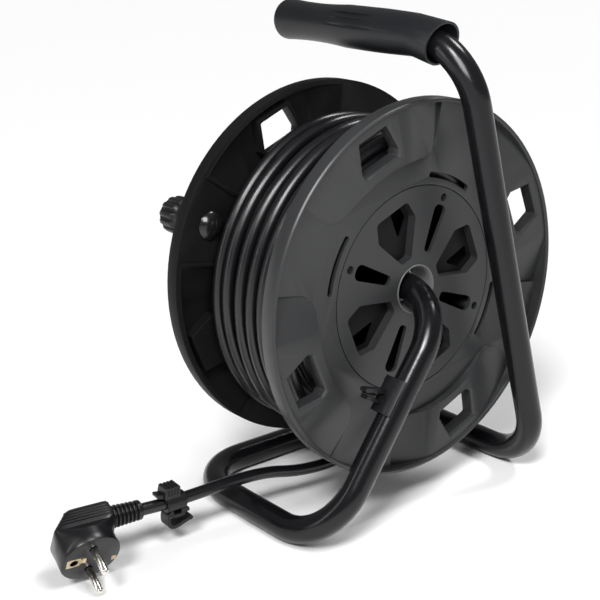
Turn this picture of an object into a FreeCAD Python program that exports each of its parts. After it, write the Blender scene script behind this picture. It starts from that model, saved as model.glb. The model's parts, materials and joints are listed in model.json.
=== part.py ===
import FreeCAD, Part
import math
import os

V = FreeCAD.Vector

# Extension cord reel on a bent tube stand. Z is up, the drum axis lies along Y,
# the side with the sockets and the winding knob faces -Y.
# The drum is drawn about its own centre and then lifted onto the stand.

# Stand of one bent tube
axle_height = 151.0
tube_r = 9.0
tube_wall = 1.75
tube_open_length = 20.0
axle_bend_r = 40.0
frame_y = 77.2
foot_front_y = -65.9
foot_x_lead = 101.5
foot_x_rear = -97.4
handle_x = -7.3
handle_z = 312.3
handle_end_y = -86.0
corner_bend_r = 42.0

# Grip on the handle
grip_front_y = -92.8
grip_end_r = 13.8
grip_waist_r = 12.8
grip_waist_y = -50.0
grip_belly_r = 14.2
grip_belly_y = -5.0
grip_neck_r = 13.4
grip_collar_r = 14.4
grip_collar_wall = 1.6
grip_collar_turn = 17.0
grip_collar_bend_r = 75.0
grip_dome = 5.0
groove_length = 62.0
groove_width = 1.8
groove_depth = 0.9
groove_turn = 17.0
groove_angle = 63.0
groove_middle_y = -24.0

# Drum flanges
rim_r = 125.0
rim_lip = 3.0
rim_y = 55.0
plate_y = 47.5
plate_wall = 3.0
barrel_r = 66.0
barrel_wall = 2.5
disc_r = 68.5
disc_wall = 2.5
seam_gap = 0.3
shell_wall = 2.5
panel_count = 4
panel_angle = 22.5
finger_angle = 67.5
panel_half_angle = 31.5
panel_r = 87.0
panel_rise = 5.5
panel_corner_r = 14.0
sharp_crease = -15.5
soft_crease = 10.5
sharp_ramp = 13.7
soft_ramp = 8.4
panel_foot_y = 43.0
window_points = [(93.5, 13.8), (97.4, 16.1), (115.5, 12.1)]
window_corner_r = 1.5
window_bevel = 1.3
slot_ring_r = 75.0
slot_ring_width = 4.0
slot_ring_half_angle = 13.5

# Discs that close the barrel
vent_points = [(22.0, 3.2), (46.0, 16.8), (58.0, 13.8)]
rib_half_width = 0.8
rib_depth = 6.0
ray_points = [(28.5, 2.1), (58.5, 4.3)]
screw_ring_r = 62.0
screw_r = 1.5
screw_head_r = 3.0
screw_head_height = 1.4
screw_length = 14.0
boss_r = 4.0
boss_length = 20.0

# Hub and bushes
hub_bore_r = 15.5
hub_wall = 2.5
running_gap = 0.08
bush_length = 16.0
bush_mouth_r = 12.8
bush_flange_r = 16.3
bush_flange_height = 3.0
bush_inner_y = 18.0
front_bush_y = -15.0
front_bush_length = 12.0
end_gap = 0.3
washer_wall = 2.0
washer_r = 14.5
cap_head_r = 12.0
cap_head_wall = 2.2
cap_plug_length = 14.0
stop_ring_wall = 2.2
stop_ring_r = 11.6

# Socket side
socket_ring_r = 40.0
socket_r = 19.5
socket_wall = 2.0
socket_depth = 17.5
socket_floor = 3.0
socket_flange_r = 23.0
socket_flange_height = 1.5
pin_hole_r = 2.8
pin_spacing = 19.0
contact_r = 3.6
contact_length = 10.0
earth_width = 5.0
earth_wall = 0.8
earth_reach = 2.2
neck_r = 8.0
neck_bore_r = 5.9
neck_height = 2.2
nut_r = 11.0
nut_height = 2.5
cutout_r = 12.0
cutout_bore_r = 8.2
cutout_length = 16.0
cutout_floor = 2.0
button_r = 5.5
button_flange_r = 7.5
button_flange_height = 2.0
button_proud = 5.0
button_travel = 2.5
spring_r = 6.0
spring_wire = 0.9

# Winding knob
knob_ring_r = 104.5
knob_angle = 157.5
spindle_r = 4.0
spindle_head_r = 7.0
spindle_head_height = 2.0
dome_r = 9.5
dome_height = 5.0
knob_gap = 0.5
knob_skirt_r = 12.5
knob_skirt_height = 6.0
knob_r = 16.5
knob_front_y = -86.0
knob_flutes = 12
flute_r = 2.6
knob_cap_wall = 2.0
knob_cap_r = 10.0
cap_gap = 2.0
spindle_boss_r = 9.0

# Cord on the drum
cord_r = 4.0
core_r = 95.6
core_half_width = 41.5
winding_r = 100.0
winding_pitch = 12.0
winding_turns = 6
winding_first_y = -35.0
winding_start_angle = 200.0
winding_sides = 6
clamp_length = 24.0
clamp_width = 13.0
clamp_height = 12.0
clamp_y = -24.0

# Clip on the leg that carries the plug when the cord is wound up
bracket_along = 64.0
bracket_length = 27.0
bracket_half_width = 12.5
bracket_depth = 20.5
bracket_lip = 3.0
tab_r = 4.0
tab_wall = 3.0

# Plug, in its own frame: X towards the cable, Y along the pins' row, Z out of the pins' face
plug_face = V(229.0, 13.7, 20.0)
plug_cable_way = V(-0.99, 0.11, -0.02)
plug_row_way = V(0.04, 0.45, 0.89)
plug_r = 19.2
plug_rim_height = 12.0
plug_back = 34.0
plug_cable_back = 25.0
plug_nose = 12.0
plug_tail = 25.0
plug_half_width = 11.0
pin_r = 2.4
pin_length = 19.0
pin_tip = 1.5
pin_row_half = 9.5
pin_root = 6.0
pin_root_r = 1.9
earth_hole_r = 2.6
earth_hole_offset = 10.0
earth_hole_depth = 15.0
side_contact_width = 7.0
side_contact_height = 9.0
side_contact_wall = 1.2
boot_end = 44.0
boot_r = 7.0
boot_tip_r = 5.2
boot_rings = 6

# Free stretch of cord from the drum to the plug, and the clip on it
cord_points = [
    V(-68.9, -0.2, 67.3),
    V(-40.8, 0.6, 44.0),
    V(-8.0, 1.6, 25.0),
    V(25.0, 2.4, 17.0),
    V(58.0, 2.0, 20.0),
    V(86.0, 1.6, 29.4),
    V(117.0, 1.2, 31.0),
    V(142.0, 0.4, 29.9),
    V(170.0, -2.1, 29.3),
]
cord_clip_place = 17.0
cord_clip_length = 12.0
cord_clip_wall = 2.2
cord_clip_hook_r = 5.2

knob_x = -knob_ring_r * math.cos(math.radians(knob_angle))
knob_z = knob_ring_r * math.sin(math.radians(knob_angle))
bore_r = tube_r - tube_wall
disc_y = plate_y - disc_wall
axle_end_y = front_bush_y - end_gap - washer_wall
middle_y = (frame_y + tube_r + grip_front_y) / 2
lift = V(0.0, -middle_y, axle_height)


def polar(radius, angle, y=0.0):
    """Point on the drum at an angle counted from -X towards +Z."""
    turn = math.radians(angle)
    return V(-radius * math.cos(turn), y, radius * math.sin(turn))


def turned(shape, angle):
    """Copy of a shape turned about the drum axis."""
    copy = shape.copy()
    copy.rotate(V(0, 0, 0), V(0, 1, 0), angle)
    return copy


def ring_of(shape, count, first_angle):
    """Copies of a shape evenly spaced about the drum axis."""
    return [turned(shape, first_angle + 360.0 / count * k) for k in range(count)]


def face_of(points):
    """Flat face with straight sides."""
    return Part.Face(Part.makePolygon(list(points) + [points[0]]))


def revolved(profile):
    """Solid from (radius, y) points turned about the Y axis."""
    face = face_of([V(r, y, 0) for r, y in profile])
    return face.revolve(V(0, 0, 0), V(0, 1, 0), 360)


def ring(inner, outer, y0, y1):
    """Plain ring about the Y axis between two heights."""
    return revolved([(inner, y0), (outer, y0), (outer, y1), (inner, y1)])


def rod(radius, y0, y1, x=0.0, z=0.0):
    """Cylinder along Y."""
    low = min(y0, y1)
    return Part.makeCylinder(radius, abs(y1 - y0), V(x, low, z), V(0, 1, 0))


def mirrored_outline(half_points):
    """Closed list of (u, v) points from one half of a shape that is alike both sides of v = 0."""
    return half_points + [(u, -v) for u, v in reversed(half_points)]


def radial_wire(points, y):
    """Wire of (u outwards, v sideways) points on the -X side of the drum."""
    corners = [V(-u, y, v) for u, v in points]
    return Part.makePolygon(corners + [corners[0]])


def radial_prism(points, y0, y1, corner_r=0.0):
    """Prism of a (u, v) outline, with its upright edges rounded."""
    solid = Part.Face(radial_wire(points, y0)).extrude(V(0, y1 - y0, 0))
    if corner_r > 0:
        solid = solid.makeFillet(corner_r, upright_edges(solid))
    return solid


def upright_edges(solid):
    """Edges of a solid that run along Y."""
    found = []
    for edge in solid.Edges:
        ends = [v.Point for v in edge.Vertexes]
        if len(ends) == 2 and math.hypot(ends[0].x - ends[1].x, ends[0].z - ends[1].z) < 1e-6:
            found.append(edge)
    return found


def sector(r0, r1, half_angle, y0, y1):
    """Prism of a ring's sector, about the -X direction."""
    a, b = polar(r0, -half_angle, y0), polar(r0, half_angle, y0)
    c, d = polar(r1, half_angle, y0), polar(r1, -half_angle, y0)
    inner = Part.Arc(a, polar(r0, 0, y0), b).toShape()
    outer = Part.Arc(c, polar(r1, 0, y0), d).toShape()
    wire = Part.Wire([inner, Part.LineSegment(b, c).toShape(), outer, Part.LineSegment(d, a).toShape()])
    return Part.Face(wire).extrude(V(0, y1 - y0, 0))


def rounded_sector(r0, r1, half_angle, y0, y1, corner_r):
    """Sector whose two inner corners are rounded."""
    solid = sector(r0, r1, half_angle, y0, y1)
    inner = [e for e in upright_edges(solid) if math.hypot(e.Vertexes[0].X, e.Vertexes[0].Z) < r0 + 1.0]
    return solid.makeFillet(corner_r, inner)


def above_ramp(crease_angle, ramp_angle, side, height):
    """Block above a plane that falls away from a radial crease, towards one side of it."""
    reach = 2 * rim_r
    z0 = 0.0 if side > 0 else -reach
    block = Part.makeBox(2 * reach, reach, reach, V(-reach, 0, z0))
    block.rotate(V(0, 0, 0), V(1, 0, 0), side * ramp_angle)
    block.translate(V(0, height, 0))
    return turned(block, crease_angle)


def below_ramps(solid, height):
    """What lies of a solid below a panel's level field and its two ramps."""
    solid = solid.cut(above_ramp(sharp_crease, sharp_ramp, -1, height))
    return solid.cut(above_ramp(soft_crease, soft_ramp, 1, height))


def flange_panel():
    """One raised panel with its window, hollow from behind."""
    top = plate_y + panel_rise
    overlap = 0.5
    inset = math.degrees(shell_wall / ((panel_r + rim_r) / 2))
    skin = rounded_sector(panel_r, rim_r - rim_lip + overlap, panel_half_angle, panel_foot_y, top, panel_corner_r)
    skin = below_ramps(skin, top)
    hollow = rounded_sector(panel_r + shell_wall, rim_r - rim_lip, panel_half_angle - inset,
                            panel_foot_y - 1, top - shell_wall, panel_corner_r - shell_wall)
    hollow = below_ramps(hollow, top - shell_wall)
    window = mirrored_outline(window_points)
    collar_wire = radial_wire(window, panel_foot_y - 2).makeOffset2D(shell_wall, 2)
    collar = Part.Face(collar_wire).extrude(V(0, 20, 0))
    skin = skin.cut(hollow.cut(collar))
    opening = radial_prism(window, panel_foot_y - 2, top + 1, window_corner_r)
    return skin.cut(opening).cut(window_flare(window, top))


def window_flare(window, top):
    """Tool for the bevel round a window's outer edge."""
    inner = radial_wire(window, top - window_bevel)
    outer = radial_wire(window, top - window_bevel).makeOffset2D(2 * window_bevel, 2)
    outer.translate(V(0, 2 * window_bevel, 0))
    return Part.makeLoft([inner, outer], True, True)


def curved_slot():
    """Tool for one curved slot with round ends."""
    half = slot_ring_width / 2
    y0 = plate_y - plate_wall - 1
    y1 = plate_y + 1
    tool = sector(slot_ring_r - half, slot_ring_r + half, slot_ring_half_angle, y0, y1)
    for side in (-1, 1):
        end = polar(slot_ring_r, side * slot_ring_half_angle)
        tool = tool.fuse(rod(half, y0, y1, end.x, end.z))
    return tool


def drum_half():
    """Flange moulded in one with its half of the barrel, on the +Y side."""
    inner = barrel_r - barrel_wall
    seat_r = disc_r + seam_gap
    under = plate_y - plate_wall
    lip = rim_r - rim_lip
    edge = 0.9
    profile = [(inner, 0), (barrel_r, 0), (barrel_r, under - 3), (seat_r + 0.7, under - 3), (seat_r + 3.7, under),
               (rim_r, under), (rim_r, rim_y - edge), (rim_r - edge, rim_y), (lip + edge, rim_y),
               (lip, rim_y - edge), (lip, plate_y), (seat_r, plate_y), (seat_r, disc_y), (inner, disc_y)]
    body = revolved(profile)
    bed = rounded_sector(panel_r, lip, panel_half_angle, under - 5, rim_y, panel_corner_r)
    body = body.cut(Part.makeCompound(ring_of(bed, panel_count, panel_angle)))
    body = body.fuse(ring_of(flange_panel(), panel_count, panel_angle))
    body = body.cut(Part.makeCompound(ring_of(curved_slot(), panel_count, finger_angle)))
    for k in range(panel_count):
        place = polar(screw_ring_r, finger_angle + 90 * k)
        body = body.fuse(rod(boss_r, disc_y - boss_length, disc_y, place.x, place.z))
        body = body.cut(rod(screw_r, disc_y - screw_length, disc_y + 1, place.x, place.z))
    return body


def front_half():
    """The same moulding on the -Y side, with the boss and bore for the knob's spindle."""
    body = drum_half().mirror(V(0, 0, 0), V(0, 1, 0))
    body = body.fuse(rod(spindle_boss_r, -plate_y - 1.5, -plate_y + 1, knob_x, knob_z))
    return body.cut(rod(spindle_r, -plate_y - 5, -plate_y + 5, knob_x, knob_z))


def disc_with_screw_holes():
    """Disc that closes the barrel, with its four screw holes."""
    body = ring(hub_bore_r, disc_r, disc_y, plate_y)
    for k in range(panel_count):
        place = polar(screw_ring_r, finger_angle + 90 * k)
        body = body.cut(rod(screw_r + 0.1, disc_y - 1, plate_y + 1, place.x, place.z))
    return body


def back_disc():
    """Vented disc with ribs behind its vents and the hub tube that holds both bushes."""
    body = disc_with_screw_holes()
    vent = radial_prism(mirrored_outline(vent_points), disc_y - 1, plate_y + 1, 1.5)
    ray = radial_prism(mirrored_outline(ray_points), disc_y - 1, plate_y + 1, 1.2)
    body = body.cut(Part.makeCompound(ring_of(vent, panel_count, panel_angle)))
    body = body.cut(Part.makeCompound(ring_of(ray, panel_count, finger_angle)))
    reach = vent_points[-1][0] + 3
    rib_line = [(hub_bore_r + 1, rib_half_width), (reach, rib_half_width)]
    rib = radial_prism(mirrored_outline(rib_line), disc_y - rib_depth, disc_y)
    hub = ring(hub_bore_r, hub_bore_r + hub_wall, front_bush_y, plate_y)
    return body.fuse([hub] + ring_of(rib, panel_count, panel_angle))


def rear_bush():
    """Flanged bush, wide at its mouth where the tube starts to bend."""
    bore = tube_r + running_gap
    shoulder = bush_inner_y + bush_length
    face = plate_y + bush_flange_height
    return revolved([(bore, bush_inner_y), (hub_bore_r, bush_inner_y), (hub_bore_r, plate_y),
                     (bush_flange_r, plate_y), (bush_flange_r, face - 1), (bush_flange_r - 1, face),
                     (bush_mouth_r, face), (bush_mouth_r, shoulder), (bore, shoulder)])


def tube_path(points, radii):
    """Wire of straight runs and tangent arcs through a list of corners."""
    edges = []
    start = points[0]
    for k in range(1, len(points) - 1):
        corner = points[k]
        way_in = (corner - points[k - 1]).normalize()
        way_out = (points[k + 1] - corner).normalize()
        half = way_in.getAngle(way_out) / 2
        back = radii[k - 1] * math.tan(half)
        enter = corner - way_in * back
        leave = corner + way_out * back
        towards = (way_out - way_in).normalize()
        middle = corner + towards * (radii[k - 1] / math.cos(half) - radii[k - 1])
        edges.append(Part.LineSegment(start, enter).toShape())
        edges.append(Part.Arc(enter, middle, leave).toShape())
        start = leave
    edges.append(Part.LineSegment(start, points[-1]).toShape())
    return Part.Wire(edges)


def swept(path, section):
    """Solid of a section carried along a path."""
    shell = Part.BRepOffsetAPI.MakePipeShell(path)
    shell.add(section)
    shell.build()
    shell.makeSolid()
    return shell.shape()


def piped(path, start, way, radius):
    """Round rod carried along straight runs and tangent arcs."""
    return path.makePipe(Part.Face(round_section(start, way, radius)))


def round_section(centre, way, radius):
    """Circle square to a direction."""
    return Part.Wire([Part.makeCircle(radius, centre, way)])


def frame_corners():
    """Corners of the stand's tube, from the axle end to the handle end, in the drum's frame."""
    foot_z = tube_r - axle_height
    top_z = handle_z - axle_height
    return [V(0, axle_end_y, 0), V(0, frame_y, 0), V(foot_x_lead, frame_y, foot_z),
            V(foot_x_lead, foot_front_y, foot_z), V(foot_x_rear, foot_front_y, foot_z),
            V(foot_x_rear, frame_y, foot_z), V(handle_x, frame_y, top_z), V(handle_x, handle_end_y, top_z)]


def frame_tube():
    """One tube: axle, down leg, foot on three sides, rising leg and handle."""
    points = frame_corners()
    path = tube_path(points, [axle_bend_r] + [corner_bend_r] * 5)
    body = piped(path, points[0], points[1] - points[0], tube_r)
    body = body.cut(rod(bore_r, axle_end_y, axle_end_y + tube_open_length))
    top_z = handle_z - axle_height
    return body.cut(rod(bore_r, handle_end_y, handle_end_y + tube_open_length, handle_x, top_z))


def handle_grip():
    """Soft grip with a domed end, a waist, grooves on both sides and an open flared collar."""
    start = frame_y - corner_bend_r
    top_z = handle_z - axle_height
    flat_r = grip_end_r - grip_dome
    dome_y = grip_front_y + grip_dome
    meet_r = (grip_waist_r + grip_belly_r) / 2 + 0.5
    meet_y = (grip_waist_y + grip_belly_y) / 2
    slant = grip_dome * (1 - math.sqrt(0.5))
    centre_front = V(0, grip_front_y, 0)
    flat_edge = V(flat_r, grip_front_y, 0)
    dome_end = V(grip_end_r, dome_y, 0)
    meet = V(meet_r, meet_y, 0)
    neck = V(grip_neck_r, start, 0)
    centre_back = V(0, start, 0)
    edges = [Part.LineSegment(centre_front, flat_edge).toShape(),
             Part.Arc(flat_edge, V(grip_end_r - slant, grip_front_y + slant, 0), dome_end).toShape(),
             Part.Arc(dome_end, V(grip_waist_r, grip_waist_y, 0), meet).toShape(),
             Part.Arc(meet, V(grip_belly_r, grip_belly_y, 0), neck).toShape(),
             Part.LineSegment(neck, centre_back).toShape(),
             Part.LineSegment(centre_back, centre_front).toShape()]
    body = Part.Face(Part.Wire(edges)).revolve(V(0, 0, 0), V(0, 1, 0), 360)
    body = body.fuse(grip_collar(start)).cut(rod(tube_r, handle_end_y, start))
    body = body.cut(Part.makeCompound(grip_grooves()))
    body.translate(V(handle_x, 0, top_z))
    return body


def grip_collar(start):
    """Open collar that follows the tube's bend and flares a little."""
    turn = math.radians(grip_collar_turn)
    inner_r = grip_collar_r - grip_collar_wall
    hinge = V(0, start, -grip_collar_bend_r)
    sections = []
    for radius in (grip_neck_r, grip_collar_r, inner_r, inner_r):
        flat = len(sections) in (0, 3)
        angle = 0.0 if flat else turn
        centre = hinge + V(0, grip_collar_bend_r * math.sin(angle), grip_collar_bend_r * math.cos(angle))
        sections.append(round_section(centre, V(0, math.cos(angle), -math.sin(angle)), radius))
    outer = Part.makeLoft(sections[:2], True, True)
    inner = Part.makeLoft([sections[3], sections[2]], True, True)
    return outer.cut(inner)


def grip_grooves():
    """Lens-shaped grooves in threes on both sides of the grip, cut by large thin discs."""
    tools = []
    surface = grip_belly_r
    lens_r = (groove_length ** 2 / 4 + groove_depth ** 2) / (2 * groove_depth)
    reach = lens_r + surface - groove_depth - 0.4
    for side in (-1, 1):
        for k in (-1, 0, 1):
            disc = Part.makeCylinder(lens_r, groove_width, V(reach, groove_middle_y, -groove_width / 2), V(0, 0, 1))
            box = Part.makeBox(4, groove_length, groove_width,
                               V(surface - 3.5, groove_middle_y - groove_length / 2, -groove_width / 2))
            tool = box.common(disc)
            tool.rotate(V(0, 0, 0), V(0, 1, 0), -90 + side * (groove_angle + k * groove_turn))
            tools.append(tool)
    return tools


def placed_along(shape, origin, way_x, way_y):
    """Move a shape from its own frame to an origin and two directions."""
    copy = shape.copy()
    rotation = FreeCAD.Rotation(way_x, way_y, way_x.cross(way_y), "XYZ")
    copy.Placement = FreeCAD.Placement(origin, rotation).multiply(copy.Placement)
    return copy


def leg_bracket():
    """Clip that hugs the down leg on the drum's side, with a hollow holder for the plug's pins."""
    points = frame_corners()
    along = (points[2] - points[1]).normalize()
    across = V(-along.z, 0, along.x)
    half = bracket_length / 2
    block = Part.makeBox(bracket_length, 2 * bracket_half_width, bracket_depth + bracket_lip,
                         V(-half, -bracket_half_width, -bracket_lip))
    block = block.makeFillet(3.0, [e for e in block.Edges if abs(e.Vertexes[0].Z - e.Vertexes[1].Z) > 1])
    block = block.cut(Part.makeCylinder(tube_r, bracket_length + 2, V(-half - 1, 0, 0), V(1, 0, 0)))
    pocket = Part.makeBox(bracket_length - 8, 2 * bracket_half_width - 6, bracket_depth - tube_r - 4,
                          V(4 - half, 3 - bracket_half_width, tube_r + 4))
    block = block.cut(pocket)
    tab = Part.makeCylinder(tab_r, tab_wall, V(half, 0, bracket_depth - tab_wall), V(0, 0, 1))
    block = block.fuse(tab)
    return placed_along(block, points[1] + along * bracket_along, along, across)


def axle_end_cap():
    """Plug in the axle's open end whose head holds the washer."""
    face = axle_end_y - cap_head_wall
    bevel = 0.8
    return revolved([(0, face), (cap_head_r - bevel, face), (cap_head_r, face + bevel), (cap_head_r, axle_end_y),
                     (bore_r, axle_end_y), (bore_r, axle_end_y + cap_plug_length), (0, axle_end_y + cap_plug_length)])


def socket_seat(index):
    """Centre of a socket and the angle that it is turned by."""
    angle = panel_angle + 90 * index
    return polar(socket_ring_r, angle), angle


def socket_plate():
    """Plate of the socket side, with round openings for the sockets and the cut-out's neck."""
    body = Part.makeCylinder(disc_r, disc_wall, V(0, -plate_y, 0), V(0, 1, 0))
    for k in range(4):
        seat, angle = socket_seat(k)
        body = body.cut(rod(socket_r + socket_wall, -plate_y - 1, -disc_y + 1, seat.x, seat.z))
        place = polar(screw_ring_r, finger_angle + 90 * k)
        body = body.cut(rod(screw_r + 0.1, -plate_y - 1, -disc_y + 1, place.x, place.z))
    body = body.cut(rod(neck_r, -plate_y - 1, -disc_y + 1))
    web = ring(screw_ring_r - 11, screw_ring_r - 9.5, -disc_y, -disc_y + 3)
    for k in range(4):
        seat, angle = socket_seat(k)
        web = web.cut(rod(socket_r + socket_wall, -disc_y - 1, -disc_y + 4, seat.x, seat.z))
    return body.fuse(web)


def socket_insert(index):
    """Round socket well with a flange, two pin holes and slots for the earth clips."""
    face = -plate_y - socket_flange_height
    floor = -plate_y + socket_depth
    outer = socket_r + socket_wall
    body = revolved([(0, floor), (socket_r, floor), (socket_r, face), (socket_flange_r - 0.8, face),
                     (socket_flange_r, face + 0.8), (socket_flange_r, -plate_y), (outer, -plate_y),
                     (outer, floor + socket_floor), (0, floor + socket_floor)])
    for side in (-1, 1):
        body = body.cut(rod(pin_hole_r, floor - 1, floor + socket_floor + 1, 0, side * pin_spacing / 2))
        groove = Part.makeBox(1.2, socket_depth - 3, earth_width + 0.6,
                              V(side * socket_r - 0.6, floor - socket_depth + 3, -earth_width / 2 - 0.3))
        body = body.cut(groove)
    seat, angle = socket_seat(index)
    body = turned(body, angle)
    body.translate(V(seat.x, 0, seat.z))
    return body


def earth_clip():
    """Bent spring strip at the side of a socket well, at the +X side of a socket at the origin."""
    floor = -plate_y + socket_depth
    low = floor - 0.3
    high = -plate_y + 2
    x = socket_r
    half = earth_width / 2
    outline = [V(x, low, -half), V(x, high, -half), V(x - earth_wall, high, -half),
               V(x - earth_reach - earth_wall, (low + high) / 2, -half), V(x - earth_wall, low, -half)]
    spine = [V(x - earth_wall * 0.2, high, -half), V(x - earth_reach, (low + high) / 2, -half),
             V(x - earth_wall * 0.2, low, -half)]
    return face_of([spine[0], outline[2], outline[3], outline[4], spine[2], spine[1]]).extrude(V(0, 0, earth_width))


def earth_clips():
    """Two brass strips in each of the four sockets."""
    strips = []
    for k in range(4):
        seat, angle = socket_seat(k)
        for half_turn in (0, 180):
            strip = turned(turned(earth_clip(), half_turn), angle)
            strip.translate(V(seat.x, 0, seat.z))
            strips.append(strip)
    return Part.makeCompound(strips)


def pin_contacts():
    """Brass sleeves behind the pin holes."""
    sleeves = []
    back = -plate_y + socket_depth + socket_floor
    for k in range(4):
        seat, angle = socket_seat(k)
        for side in (-1, 1):
            sleeve = ring(pin_hole_r, contact_r, back, back + contact_length)
            sleeve.translate(V(0, 0, side * pin_spacing / 2))
            sleeve = turned(sleeve, angle)
            sleeve.translate(V(seat.x, 0, seat.z))
            sleeves.append(sleeve)
    return Part.makeCompound(sleeves)


def cutout_body():
    """Housing of the thermal cut-out behind the plate, with a neck through it."""
    inner_face = -disc_y
    return revolved([(neck_bore_r, -plate_y - neck_height), (neck_r, -plate_y - neck_height), (neck_r, inner_face),
                     (cutout_r, inner_face), (cutout_r, inner_face + cutout_length),
                     (0, inner_face + cutout_length), (0, inner_face + cutout_length - cutout_floor),
                     (cutout_bore_r, inner_face + cutout_length - cutout_floor),
                     (cutout_bore_r, inner_face), (neck_bore_r, inner_face)])


def cutout_nut():
    """Ring nut that holds the cut-out to the plate."""
    body = ring(neck_r, nut_r, -plate_y - nut_height, -plate_y)
    notch = Part.makeBox(3.0, 1.2, 2 * nut_r + 2, V(-1.5, -plate_y - nut_height, -nut_r - 1))
    return body.cut(notch).cut(turned(notch, 90))


def reset_button():
    """Button with a flange inside the cut-out."""
    flange_face = -disc_y + end_gap
    outer = -plate_y - neck_height - button_proud
    return revolved([(0, outer), (button_r - 0.8, outer), (button_r, outer + 0.8), (button_r, flange_face),
                     (button_flange_r, flange_face), (button_flange_r, flange_face + button_flange_height),
                     (0, flange_face + button_flange_height)])


def reset_spring():
    """Spring under the button, closed like a sleeve and drawn at its pressed length."""
    bottom = -disc_y + cutout_length - cutout_floor
    top = -disc_y + end_gap + button_flange_height + button_travel + end_gap
    return ring(spring_r - spring_wire, spring_r, top, bottom)


def biarcs(points, ways):
    """Pairs of tangent arcs that join points with given directions."""
    edges = []
    for k in range(len(points) - 1):
        p, q = points[k], points[k + 1]
        t, u = ways[k], ways[k + 1]
        chord = q - p
        both = t + u
        a = 4 - both.dot(both)
        b = 2 * chord.dot(both)
        c = -chord.dot(chord)
        reach = (-b + math.sqrt(b * b - 4 * a * c)) / (2 * a)
        first = p + t * reach
        second = q - u * reach
        joint = (first + second) * 0.5
        edges.append(tangent_arc(p, first, joint))
        edges.append(tangent_arc(joint, second, q))
    return edges


def tangent_arc(start, corner, end):
    """Arc from start to end whose tangents meet at a corner."""
    half_chord = (end - start).Length / 2
    middle = (start + end) * 0.5
    rise = (corner - middle).Length
    side = (corner - start).Length
    sag = half_chord * (side - half_chord) / rise
    return Part.Arc(start, middle + (corner - middle).normalize() * sag, end).toShape()


def winding_line():
    """Quarter-turn points of the outer layer and the cord's direction at each."""
    points, ways = [], []
    rise = winding_pitch / (2 * math.pi)
    for k in range(4 * winding_turns + 1):
        angle = winding_start_angle - 90 * k
        y = winding_first_y + winding_pitch * k / 4
        points.append(polar(winding_r, angle, y))
        turn = math.radians(angle)
        ways.append(V(-winding_r * math.sin(turn), rise, -winding_r * math.cos(turn)).normalize())
    return points, ways


def cord_winding():
    """Outer layer of cord on the drum, one unbroken tube."""
    points, ways = winding_line()
    lead_in = points[0] - ways[0] * 2 * cord_r
    lead_out = points[-1] + ways[-1] * 2 * cord_r
    edges = [Part.LineSegment(lead_in, points[0]).toShape()]
    edges += biarcs(points, ways)
    edges.append(Part.LineSegment(points[-1], lead_out).toShape())
    path = Part.Wire(edges)
    side = ways[0].cross(V(0, 1, 0)).normalize()
    up = side.cross(ways[0]).normalize()
    corners = []
    for k in range(winding_sides):
        angle = 2 * math.pi * (k + 0.5) / winding_sides
        corners.append(lead_in + side * (cord_r * math.cos(angle)) + up * (cord_r * math.sin(angle)))
    print("winding: least gap to itself", round(least_own_gap(path), 2), "mm, length", round(path.Length), "mm")
    return swept(path, Part.makePolygon(corners + [corners[0]]))


def least_own_gap(path):
    """Least distance between stretches of a tube that are over a quarter turn apart, less its width."""
    points = path.discretize(Number=48 * winding_turns)
    apart = 16
    least = 1e9
    for i in range(len(points)):
        for j in range(i + apart, len(points)):
            least = min(least, (points[i] - points[j]).Length)
    return least - 2 * cord_r


def cord_core():
    """Lower layers of cord, closed, round the barrel."""
    return ring(barrel_r, core_r, -core_half_width, core_half_width)


def cord_clamp():
    """Clamp on the barrel's inner wall that holds the cord's inner end."""
    inner = barrel_r - barrel_wall
    half = clamp_length / 2
    block = Part.makeBox(clamp_height + 2, clamp_width, clamp_length, V(-inner - 2, clamp_y, -half))
    tunnel = Part.makeCylinder(cord_r, clamp_length + 2, V(clamp_height / 2 - inner, clamp_y + clamp_width / 2, -half - 1))
    return block.common(rod(inner, clamp_y - 1, clamp_y + clamp_width + 1)).cut(tunnel)


def screws(side):
    """Four pan-head screws through a disc into the bosses."""
    group = []
    head = screw_head_height
    profile = [(0, plate_y + head), (screw_head_r - 1, plate_y + head), (screw_head_r, plate_y),
               (screw_r, plate_y), (screw_r, disc_y - screw_length + 1), (0, disc_y - screw_length + 1)]
    screw = revolved(profile)
    screw = screw.cut(Part.makeBox(0.8, 1.0, 3.6, V(-0.4, plate_y + head - 0.7, -1.8)))
    screw = screw.cut(Part.makeBox(3.6, 1.0, 0.8, V(-1.8, plate_y + head - 0.7, -0.4)))
    for k in range(4):
        place = polar(screw_ring_r, finger_angle + 90 * k)
        copy = screw.copy()
        copy.translate(V(place.x, 0, place.z))
        group.append(copy)
    group = Part.makeCompound(group)
    if side < 0:
        group = group.mirror(V(0, 0, 0), V(0, 1, 0))
    return group


def knob_spindle():
    """Domed boss inside the flange with the spindle that the knob turns on."""
    inner_face = -plate_y + plate_wall
    skirt = inner_face + 1
    rise = dome_height - 1
    ball_r = (dome_r ** 2 + rise ** 2) / (2 * rise)
    ball = Part.makeSphere(ball_r, V(0, skirt + rise - ball_r, 0))
    dome = ball.common(rod(dome_r, skirt, skirt + rise + 1)).fuse(rod(dome_r, inner_face, skirt))
    head_back = knob_front_y + knob_cap_wall + cap_gap + spindle_head_height
    shaft = rod(spindle_r, head_back, inner_face + 1)
    head = rod(spindle_head_r, head_back - spindle_head_height, head_back)
    body = dome.fuse([shaft, head])
    body.translate(V(knob_x, 0, knob_z))
    return body


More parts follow.
